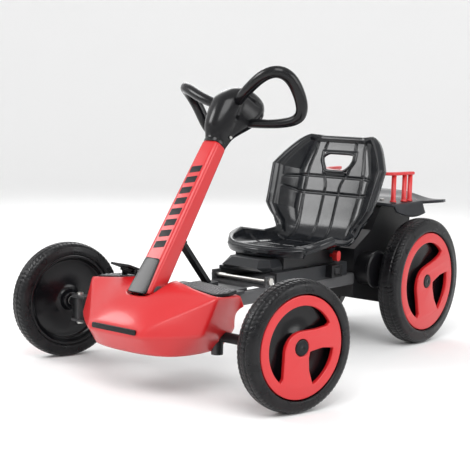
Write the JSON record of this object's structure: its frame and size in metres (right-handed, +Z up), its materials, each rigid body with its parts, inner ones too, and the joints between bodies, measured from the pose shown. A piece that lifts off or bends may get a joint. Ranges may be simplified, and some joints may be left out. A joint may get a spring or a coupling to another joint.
{
  "type": "go kart",
  "caption": "Low child kart with a folding raked steering column, bucket seat, narrow driven rear wheels and wide steered front wheels.",
  "frame": {"origin": "on the ground, in the middle of the overall length and width", "axes": "+Z up, -Y forward, +X the rider's left"},
  "size_m": [0.6778, 0.944, 0.5968],
  "materials": {
    "black_plastic": "moulded, fine grain, slight sheen",
    "gloss_black": "glossy moulded plastic",
    "red_plastic": "semi-gloss moulded red plastic",
    "grey_plastic": "dark grey moulded plastic",
    "tyre_eva": "black tread with satin sidewall",
    "painted_tube": "dark grey powder coat",
    "black_steel": "black powder coat",
    "zinc_steel": "zinc plated",
    "nylon": "natural nylon",
    "battery_case": "moulded case",
    "pad_rubber": "speckled anti-slip rubber",
    "red_lens": "red reflector"
  },
  "bodies": {
    "chassis": {"front_axle_beam": "black_steel", "kingpin_bolts": "zinc_steel", "column_bracket": "black_steel", "frame_rail_left": "painted_tube", "frame_rail_right": "painted_tube", "front_housing": "red_plastic", "front_strip": "black_plastic", "footrest_pads": "pad_rubber", "platform_cover": "grey_plastic", "pedal_bracket": "black_plastic", "seat_track": "black_plastic", "cross_bracket": "black_steel", "cross_bolt": "zinc_steel", "switch_box": "black_plastic", "rear_housing": "black_plastic", "drive_motor": "black_steel", "battery": "battery_case", "rear_deck": "grey_plastic", "deck_reflector": "red_lens", "rear_handle": "red_plastic", "deck_screws": "zinc_steel"},
    "pedal": {"accelerator_pedal": "black_plastic"},
    "column": {"steering_column": "red_plastic", "column_panel": "gloss_black", "column_bushes": "nylon", "fold_pins": "zinc_steel"},
    "brace": {"brace_strut": "black_steel"},
    "steering": {"steering_shaft": "zinc_steel", "steering_head": "black_plastic", "steering_head_cap": "gloss_black", "grip_left": "black_plastic", "grip_right": "black_plastic"},
    "lower_shaft": {"lower_steering_shaft": "zinc_steel"},
    "knuckle_left": {"steering_knuckle_left": "black_steel"},
    "knuckle_right": {"steering_knuckle_right": "black_steel"},
    "tie_rod": {"tie_rod": "black_steel"},
    "wheel_front_left": {"front_tyre_left": "tyre_eva", "front_rim_left": "gloss_black", "front_wheel_cover_left": "red_plastic", "front_hub_cap_left": "black_plastic", "front_wheel_bushes_left": "nylon"},
    "wheel_front_right": {"front_tyre_right": "tyre_eva", "front_rim_right": "gloss_black", "front_wheel_cover_right": "red_plastic", "front_hub_cap_right": "black_plastic", "front_wheel_bushes_right": "nylon"},
    "rear_wheels": {"rear_axle": "zinc_steel", "rear_tyre_left": "tyre_eva", "rear_tyre_right": "tyre_eva", "rear_rims": "gloss_black", "rear_wheel_covers": "red_plastic", "rear_hub_caps": "black_plastic", "drive_gear": "nylon"},
    "idler": {"idler_gear": "nylon"},
    "rotor": {"motor_pinion": "zinc_steel"},
    "seat": {"seat_base": "black_plastic", "seat_nose_cover": "black_plastic", "seat_shell": "gloss_black"},
    "release_knob": {"seat_release_knob": "red_plastic"},
    "speed_switch": {"speed_switch": "black_plastic"}
  },
  "joints": [
    {"name": "column_fold", "type": "hinge", "parent": "chassis", "child": "column", "pos_m": [0, -0.3876, 0.17994], "axis": [-1, 0, 0], "range_deg": [0, 30]},
    {"name": "brace_swing", "type": "hinge", "parent": "column", "child": "brace", "pos_m": [0, -0.29851, 0.2619], "axis": [1, 0, 0], "range_deg": [0, 66]},
    {"name": "steering_turn", "type": "hinge", "parent": "column", "child": "steering", "pos_m": [0, -0.27772, 0.33982], "axis": [0, 0.5664, 0.8241], "range_deg": [-15, 41]},
    {"name": "lower_shaft_turn", "type": "hinge", "parent": "chassis", "child": "lower_shaft", "pos_m": [0, -0.40573, 0.15357], "axis": [0, 0.5664, 0.8241], "range_deg": [-15, 41]},
    {"name": "knuckle_left_turn", "type": "hinge", "parent": "chassis", "child": "knuckle_left", "pos_m": [0.245, -0.322, 0.104], "axis": [0, 0, 1], "range_deg": [-15, 41]},
    {"name": "knuckle_right_turn", "type": "hinge", "parent": "chassis", "child": "knuckle_right", "pos_m": [-0.245, -0.322, 0.104], "axis": [0, 0, 1], "range_deg": [-15, 41]},
    {"name": "tie_rod_swing", "type": "hinge", "parent": "knuckle_left", "child": "tie_rod", "pos_m": [0.25512, -0.27815, 0.1], "axis": [0, 0, -1], "range_deg": [-15, 41]},
    {"name": "front_left_spin", "type": "hinge", "parent": "knuckle_left", "child": "wheel_front_left", "pos_m": [0.29664, -0.33392, 0.116], "axis": [0.9744, -0.225, 0], "continuous": true},
    {"name": "front_right_spin", "type": "hinge", "parent": "knuckle_right", "child": "wheel_front_right", "pos_m": [-0.29664, -0.31008, 0.116], "axis": [0.9744, -0.225, 0], "continuous": true},
    {"name": "rear_wheels_spin", "type": "hinge", "parent": "chassis", "child": "rear_wheels", "pos_m": [0, 0.334, 0.138], "axis": [1, 0, 0], "continuous": true},
    {"name": "idler_spin", "type": "hinge", "parent": "chassis", "child": "idler", "pos_m": [0.04, 0.27315, 0.15431], "axis": [1, 0, 0], "continuous": true},
    {"name": "rotor_spin", "type": "hinge", "parent": "chassis", "child": "rotor", "pos_m": [0.04, 0.21229, 0.17061], "axis": [1, 0, 0], "continuous": true},
    {"name": "seat_slide", "type": "slide", "parent": "chassis", "child": "seat", "axis": [0, -1, 0], "range_m": [0, 0.02]},
    {"name": "release_press", "type": "slide", "parent": "seat", "child": "release_knob", "axis": [-1, 0, 0], "range_m": [0, 0.006], "stiffness_N_per_m": 600},
    {"name": "pedal_press", "type": "hinge", "parent": "chassis", "child": "pedal", "pos_m": [-0.088, -0.34, 0.199], "axis": [1, 0, 0], "range_deg": [0, 14], "stiffness_Nm_per_rad": 1.2, "springref_deg": -6.88},
    {"name": "switch_rock", "type": "hinge", "parent": "chassis", "child": "speed_switch", "pos_m": [0.086, 0.089, 0.177], "axis": [0, 1, 0], "range_deg": [0, 18]}
  ],
  "couplings": [
    {"joint": "brace_swing", "follows": "column_fold", "ratio": 2.19},
    {"joint": "lower_shaft_turn", "follows": "steering_turn", "ratio": 1},
    {"joint": "knuckle_left_turn", "follows": "steering_turn", "ratio": 1},
    {"joint": "knuckle_right_turn", "follows": "steering_turn", "ratio": 1},
    {"joint": "tie_rod_swing", "follows": "steering_turn", "ratio": 1},
    {"joint": "idler_spin", "follows": "rear_wheels_spin", "ratio": -3.2},
    {"joint": "rotor_spin", "follows": "rear_wheels_spin", "ratio": 10.24}
  ]
}
